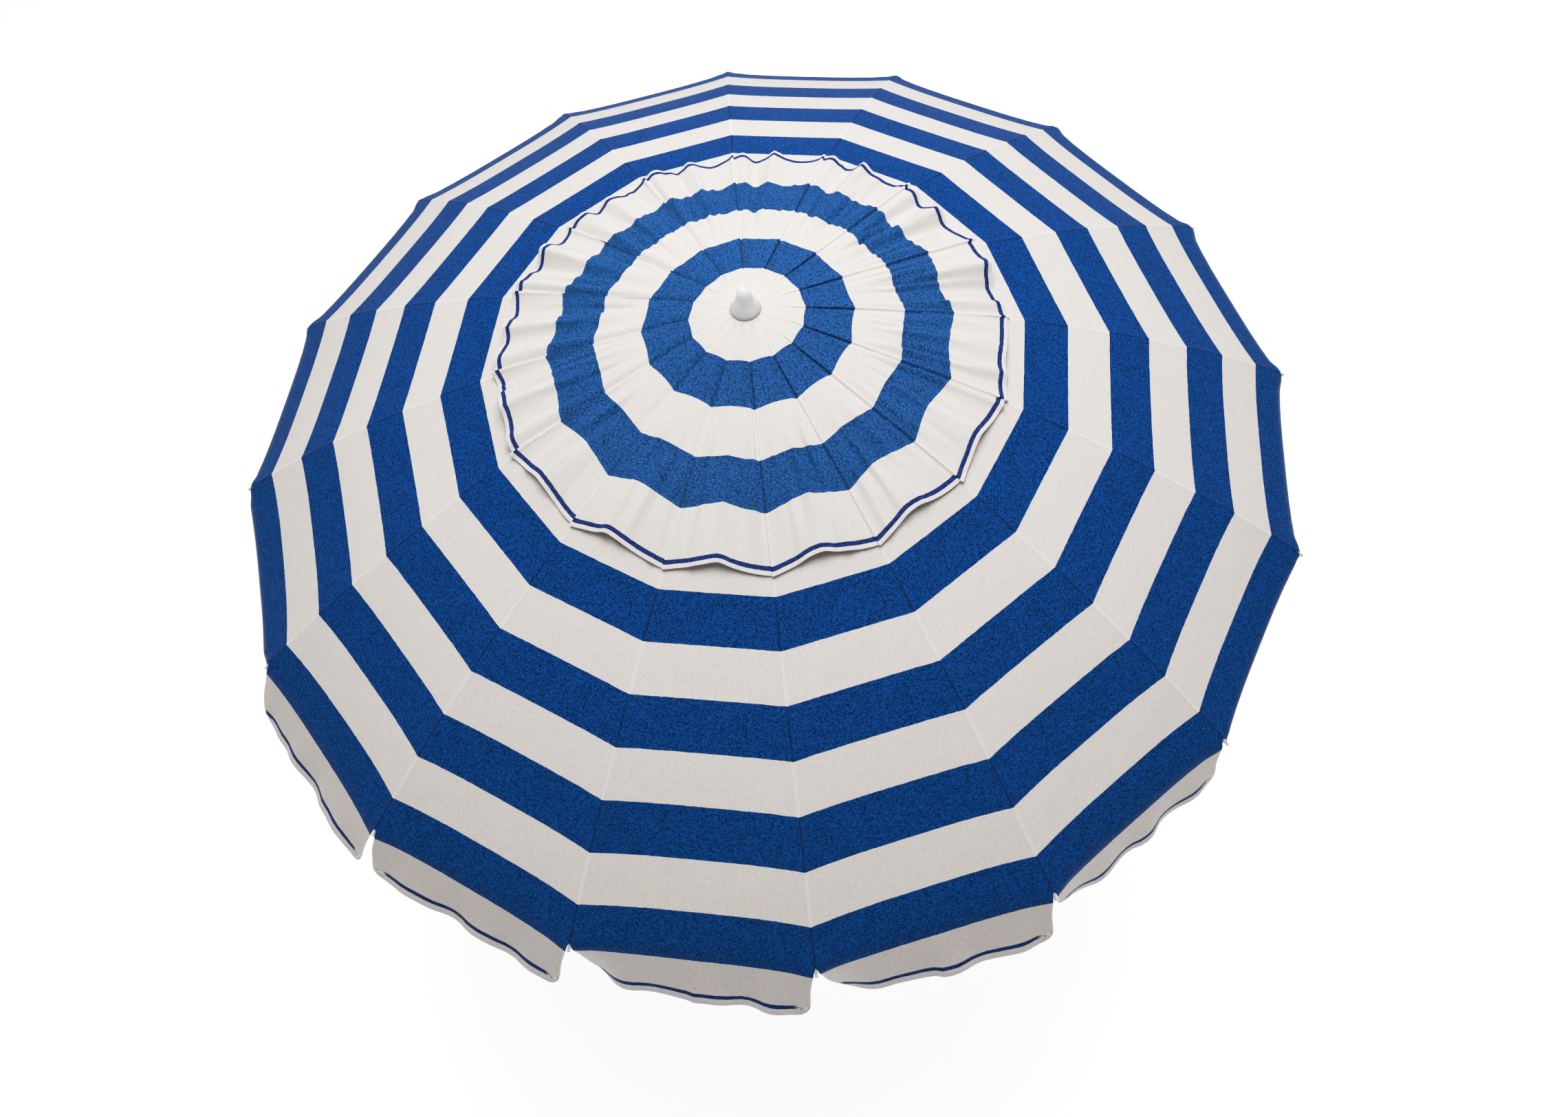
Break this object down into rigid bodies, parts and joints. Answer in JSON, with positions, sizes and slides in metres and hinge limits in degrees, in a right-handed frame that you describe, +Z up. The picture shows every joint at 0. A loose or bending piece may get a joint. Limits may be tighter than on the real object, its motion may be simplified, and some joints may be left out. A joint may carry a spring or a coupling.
{
  "type": "beach umbrella",
  "caption": "Open beach umbrella with a vented striped canopy on folding ribs, a runner with stretchers, and a two-part height-adjustable pole that pushes into sand.",
  "frame": {"origin": "the pole's ground point, at the bottom of the whole umbrella, on the pole's axis", "axes": "+Z up the pole; -Y along the first rib"},
  "size_m": [2.4212, 2.4212, 2.216],
  "materials": {
    "striped_canvas": "woven polyester canvas, white with royal blue stripes",
    "painted_steel": "white powder coat",
    "spring_steel": "bright drawn wire",
    "white_plastic": "satin moulded",
    "clear_white_plastic": "translucent white, moulded"
  },
  "bodies": {
    "lower_pole": {"lower_pole": "painted_steel", "clamp_collar": "white_plastic"},
    "clamp_knob": {"clamp_knob": "white_plastic"},
    "upper_pole": {"upper_pole": "painted_steel", "hub": "white_plastic", "hub_wire": "spring_steel", "finial": "clear_white_plastic", "canopy": "striped_canvas", "vent_cap": "striped_canvas"},
    "catch_spring": {"catch_spring": "spring_steel"},
    "runner": {"runner": "white_plastic", "runner_wire": "spring_steel"},
    "rib_01": {"rib_01": "painted_steel", "rib_tip_01": "white_plastic"},
    "stretcher_01": {"stretcher_01": "painted_steel"},
    "rib_02": {"rib_02": "painted_steel", "rib_tip_02": "white_plastic"},
    "stretcher_02": {"stretcher_02": "painted_steel"},
    "rib_03": {"rib_03": "painted_steel", "rib_tip_03": "white_plastic"},
    "stretcher_03": {"stretcher_03": "painted_steel"},
    "rib_04": {"rib_04": "painted_steel", "rib_tip_04": "white_plastic"},
    "stretcher_04": {"stretcher_04": "painted_steel"},
    "rib_05": {"rib_05": "painted_steel", "rib_tip_05": "white_plastic"},
    "stretcher_05": {"stretcher_05": "painted_steel"},
    "rib_06": {"rib_06": "painted_steel", "rib_tip_06": "white_plastic"},
    "stretcher_06": {"stretcher_06": "painted_steel"},
    "rib_07": {"rib_07": "painted_steel", "rib_tip_07": "white_plastic"},
    "stretcher_07": {"stretcher_07": "painted_steel"},
    "rib_08": {"rib_08": "painted_steel", "rib_tip_08": "white_plastic"},
    "stretcher_08": {"stretcher_08": "painted_steel"},
    "rib_09": {"rib_09": "painted_steel", "rib_tip_09": "white_plastic"},
    "stretcher_09": {"stretcher_09": "painted_steel"},
    "rib_10": {"rib_10": "painted_steel", "rib_tip_10": "white_plastic"},
    "stretcher_10": {"stretcher_10": "painted_steel"},
    "rib_11": {"rib_11": "painted_steel", "rib_tip_11": "white_plastic"},
    "stretcher_11": {"stretcher_11": "painted_steel"},
    "rib_12": {"rib_12": "painted_steel", "rib_tip_12": "white_plastic"},
    "stretcher_12": {"stretcher_12": "painted_steel"},
    "rib_13": {"rib_13": "painted_steel", "rib_tip_13": "white_plastic"},
    "stretcher_13": {"stretcher_13": "painted_steel"},
    "rib_14": {"rib_14": "painted_steel", "rib_tip_14": "white_plastic"},
    "stretcher_14": {"stretcher_14": "painted_steel"},
    "rib_15": {"rib_15": "painted_steel", "rib_tip_15": "white_plastic"},
    "stretcher_15": {"stretcher_15": "painted_steel"},
    "rib_16": {"rib_16": "painted_steel", "rib_tip_16": "white_plastic"},
    "stretcher_16": {"stretcher_16": "painted_steel"}
  },
  "joints": [
    {"name": "height_adjust", "type": "slide", "parent": "lower_pole", "child": "upper_pole", "axis": [0, 0, 1], "range_m": [0, 0.17]},
    {"name": "knob_turn", "type": "hinge", "parent": "lower_pole", "child": "clamp_knob", "pos_m": [0, -0.0164, 0.816], "axis": [0, -1, 0], "range_deg": [0, 270]},
    {"name": "catch_press", "type": "slide", "parent": "upper_pole", "child": "catch_spring", "axis": [-0.1951, 0.9808, 0], "range_m": [0, 0.004], "stiffness_N_per_m": 900, "springref_m": -0.002},
    {"name": "runner_slide", "type": "slide", "parent": "upper_pole", "child": "runner", "axis": [0, 0, 1], "range_m": [-0.63791, 0], "deforming": ["canopy", "vent_cap", "catch_spring"]},
    {"name": "rib_hinge_01", "type": "hinge", "parent": "upper_pole", "child": "rib_01", "pos_m": [0, -0.026, 2.14997], "axis": [1, 0, 0], "range_deg": [0, 66.01]},
    {"name": "stretcher_hinge_01", "type": "hinge", "parent": "rib_01", "child": "stretcher_01", "pos_m": [0, -0.51017, 2.02326], "axis": [1, 0, 0], "range_deg": [-117.19, 0]},
    {"name": "rib_hinge_02", "type": "hinge", "parent": "upper_pole", "child": "rib_02", "pos_m": [0.00995, -0.02402, 2.14997], "axis": [0.9239, 0.3827, 0], "range_deg": [0, 66.01]},
    {"name": "stretcher_hinge_02", "type": "hinge", "parent": "rib_02", "child": "stretcher_02", "pos_m": [0.19523, -0.47134, 2.02326], "axis": [0.9239, 0.3827, 0], "range_deg": [-117.19, 0]},
    {"name": "rib_hinge_03", "type": "hinge", "parent": "upper_pole", "child": "rib_03", "pos_m": [0.01838, -0.01838, 2.14997], "axis": [0.7071, 0.7071, 0], "range_deg": [0, 66.01]},
    {"name": "stretcher_hinge_03", "type": "hinge", "parent": "rib_03", "child": "stretcher_03", "pos_m": [0.36075, -0.36075, 2.02326], "axis": [0.7071, 0.7071, 0], "range_deg": [-117.19, 0]},
    {"name": "rib_hinge_04", "type": "hinge", "parent": "upper_pole", "child": "rib_04", "pos_m": [0.02402, -0.00995, 2.14997], "axis": [0.3827, 0.9239, 0], "range_deg": [0, 66.01]},
    {"name": "stretcher_hinge_04", "type": "hinge", "parent": "rib_04", "child": "stretcher_04", "pos_m": [0.47134, -0.19523, 2.02326], "axis": [0.3827, 0.9239, 0], "range_deg": [-117.19, 0]},
    {"name": "rib_hinge_05", "type": "hinge", "parent": "upper_pole", "child": "rib_05", "pos_m": [0.026, 0, 2.14997], "axis": [0, 1, 0], "range_deg": [0, 66.01]},
    {"name": "stretcher_hinge_05", "type": "hinge", "parent": "rib_05", "child": "stretcher_05", "pos_m": [0.51017, 0, 2.02326], "axis": [0, 1, 0], "range_deg": [-117.19, 0]},
    {"name": "rib_hinge_06", "type": "hinge", "parent": "upper_pole", "child": "rib_06", "pos_m": [0.02402, 0.00995, 2.14997], "axis": [-0.3827, 0.9239, 0], "range_deg": [0, 66.01]},
    {"name": "stretcher_hinge_06", "type": "hinge", "parent": "rib_06", "child": "stretcher_06", "pos_m": [0.47134, 0.19523, 2.02326], "axis": [-0.3827, 0.9239, 0], "range_deg": [-117.19, 0]},
    {"name": "rib_hinge_07", "type": "hinge", "parent": "upper_pole", "child": "rib_07", "pos_m": [0.01838, 0.01838, 2.14997], "axis": [-0.7071, 0.7071, 0], "range_deg": [0, 66.01]},
    {"name": "stretcher_hinge_07", "type": "hinge", "parent": "rib_07", "child": "stretcher_07", "pos_m": [0.36075, 0.36075, 2.02326], "axis": [-0.7071, 0.7071, 0], "range_deg": [-117.19, 0]},
    {"name": "rib_hinge_08", "type": "hinge", "parent": "upper_pole", "child": "rib_08", "pos_m": [0.00995, 0.02402, 2.14997], "axis": [-0.9239, 0.3827, 0], "range_deg": [0, 66.01]},
    {"name": "stretcher_hinge_08", "type": "hinge", "parent": "rib_08", "child": "stretcher_08", "pos_m": [0.19523, 0.47134, 2.02326], "axis": [-0.9239, 0.3827, 0], "range_deg": [-117.19, 0]},
    {"name": "rib_hinge_09", "type": "hinge", "parent": "upper_pole", "child": "rib_09", "pos_m": [0, 0.026, 2.14997], "axis": [-1, 0, 0], "range_deg": [0, 66.01]},
    {"name": "stretcher_hinge_09", "type": "hinge", "parent": "rib_09", "child": "stretcher_09", "pos_m": [0, 0.51017, 2.02326], "axis": [-1, 0, 0], "range_deg": [-117.19, 0]},
    {"name": "rib_hinge_10", "type": "hinge", "parent": "upper_pole", "child": "rib_10", "pos_m": [-0.00995, 0.02402, 2.14997], "axis": [-0.9239, -0.3827, 0], "range_deg": [0, 66.01]},
    {"name": "stretcher_hinge_10", "type": "hinge", "parent": "rib_10", "child": "stretcher_10", "pos_m": [-0.19523, 0.47134, 2.02326], "axis": [-0.9239, -0.3827, 0], "range_deg": [-117.19, 0]},
    {"name": "rib_hinge_11", "type": "hinge", "parent": "upper_pole", "child": "rib_11", "pos_m": [-0.01838, 0.01838, 2.14997], "axis": [-0.7071, -0.7071, 0], "range_deg": [0, 66.01]},
    {"name": "stretcher_hinge_11", "type": "hinge", "parent": "rib_11", "child": "stretcher_11", "pos_m": [-0.36075, 0.36075, 2.02326], "axis": [-0.7071, -0.7071, 0], "range_deg": [-117.19, 0]},
    {"name": "rib_hinge_12", "type": "hinge", "parent": "upper_pole", "child": "rib_12", "pos_m": [-0.02402, 0.00995, 2.14997], "axis": [-0.3827, -0.9239, 0], "range_deg": [0, 66.01]},
    {"name": "stretcher_hinge_12", "type": "hinge", "parent": "rib_12", "child": "stretcher_12", "pos_m": [-0.47134, 0.19523, 2.02326], "axis": [-0.3827, -0.9239, 0], "range_deg": [-117.19, 0]},
    {"name": "rib_hinge_13", "type": "hinge", "parent": "upper_pole", "child": "rib_13", "pos_m": [-0.026, 0, 2.14997], "axis": [0, -1, 0], "range_deg": [0, 66.01]},
    {"name": "stretcher_hinge_13", "type": "hinge", "parent": "rib_13", "child": "stretcher_13", "pos_m": [-0.51017, 0, 2.02326], "axis": [0, -1, 0], "range_deg": [-117.19, 0]},
    {"name": "rib_hinge_14", "type": "hinge", "parent": "upper_pole", "child": "rib_14", "pos_m": [-0.02402, -0.00995, 2.14997], "axis": [0.3827, -0.9239, 0], "range_deg": [0, 66.01]},
    {"name": "stretcher_hinge_14", "type": "hinge", "parent": "rib_14", "child": "stretcher_14", "pos_m": [-0.47134, -0.19523, 2.02326], "axis": [0.3827, -0.9239, 0], "range_deg": [-117.19, 0]},
    {"name": "rib_hinge_15", "type": "hinge", "parent": "upper_pole", "child": "rib_15", "pos_m": [-0.01838, -0.01838, 2.14997], "axis": [0.7071, -0.7071, 0], "range_deg": [0, 66.01]},
    {"name": "stretcher_hinge_15", "type": "hinge", "parent": "rib_15", "child": "stretcher_15", "pos_m": [-0.36075, -0.36075, 2.02326], "axis": [0.7071, -0.7071, 0], "range_deg": [-117.19, 0]},
    {"name": "rib_hinge_16", "type": "hinge", "parent": "upper_pole", "child": "rib_16", "pos_m": [-0.00995, -0.02402, 2.14997], "axis": [0.9239, -0.3827, 0], "range_deg": [0, 66.01]},
    {"name": "stretcher_hinge_16", "type": "hinge", "parent": "rib_16", "child": "stretcher_16", "pos_m": [-0.19523, -0.47134, 2.02326], "axis": [0.9239, -0.3827, 0], "range_deg": [-117.19, 0]}
  ],
  "couplings": [
    {"joint": "rib_hinge_01", "follows": "runner_slide", "rad_per_m": -1.8058},
    {"joint": "stretcher_hinge_01", "follows": "runner_slide", "rad_per_m": 3.2061},
    {"joint": "rib_hinge_02", "follows": "runner_slide", "rad_per_m": -1.8058},
    {"joint": "stretcher_hinge_02", "follows": "runner_slide", "rad_per_m": 3.2061},
    {"joint": "rib_hinge_03", "follows": "runner_slide", "rad_per_m": -1.8058},
    {"joint": "stretcher_hinge_03", "follows": "runner_slide", "rad_per_m": 3.2061},
    {"joint": "rib_hinge_04", "follows": "runner_slide", "rad_per_m": -1.8058},
    {"joint": "stretcher_hinge_04", "follows": "runner_slide", "rad_per_m": 3.2061},
    {"joint": "rib_hinge_05", "follows": "runner_slide", "rad_per_m": -1.8058},
    {"joint": "stretcher_hinge_05", "follows": "runner_slide", "rad_per_m": 3.2061},
    {"joint": "rib_hinge_06", "follows": "runner_slide", "rad_per_m": -1.8058},
    {"joint": "stretcher_hinge_06", "follows": "runner_slide", "rad_per_m": 3.2061},
    {"joint": "rib_hinge_07", "follows": "runner_slide", "rad_per_m": -1.8058},
    {"joint": "stretcher_hinge_07", "follows": "runner_slide", "rad_per_m": 3.2061},
    {"joint": "rib_hinge_08", "follows": "runner_slide", "rad_per_m": -1.8058},
    {"joint": "stretcher_hinge_08", "follows": "runner_slide", "rad_per_m": 3.2061},
    {"joint": "rib_hinge_09", "follows": "runner_slide", "rad_per_m": -1.8058},
    {"joint": "stretcher_hinge_09", "follows": "runner_slide", "rad_per_m": 3.2061},
    {"joint": "rib_hinge_10", "follows": "runner_slide", "rad_per_m": -1.8058},
    {"joint": "stretcher_hinge_10", "follows": "runner_slide", "rad_per_m": 3.2061},
    {"joint": "rib_hinge_11", "follows": "runner_slide", "rad_per_m": -1.8058},
    {"joint": "stretcher_hinge_11", "follows": "runner_slide", "rad_per_m": 3.2061},
    {"joint": "rib_hinge_12", "follows": "runner_slide", "rad_per_m": -1.8058},
    {"joint": "stretcher_hinge_12", "follows": "runner_slide", "rad_per_m": 3.2061},
    {"joint": "rib_hinge_13", "follows": "runner_slide", "rad_per_m": -1.8058},
    {"joint": "stretcher_hinge_13", "follows": "runner_slide", "rad_per_m": 3.2061},
    {"joint": "rib_hinge_14", "follows": "runner_slide", "rad_per_m": -1.8058},
    {"joint": "stretcher_hinge_14", "follows": "runner_slide", "rad_per_m": 3.2061},
    {"joint": "rib_hinge_15", "follows": "runner_slide", "rad_per_m": -1.8058},
    {"joint": "stretcher_hinge_15", "follows": "runner_slide", "rad_per_m": 3.2061},
    {"joint": "rib_hinge_16", "follows": "runner_slide", "rad_per_m": -1.8058},
    {"joint": "stretcher_hinge_16", "follows": "runner_slide", "rad_per_m": 3.2061}
  ]
}
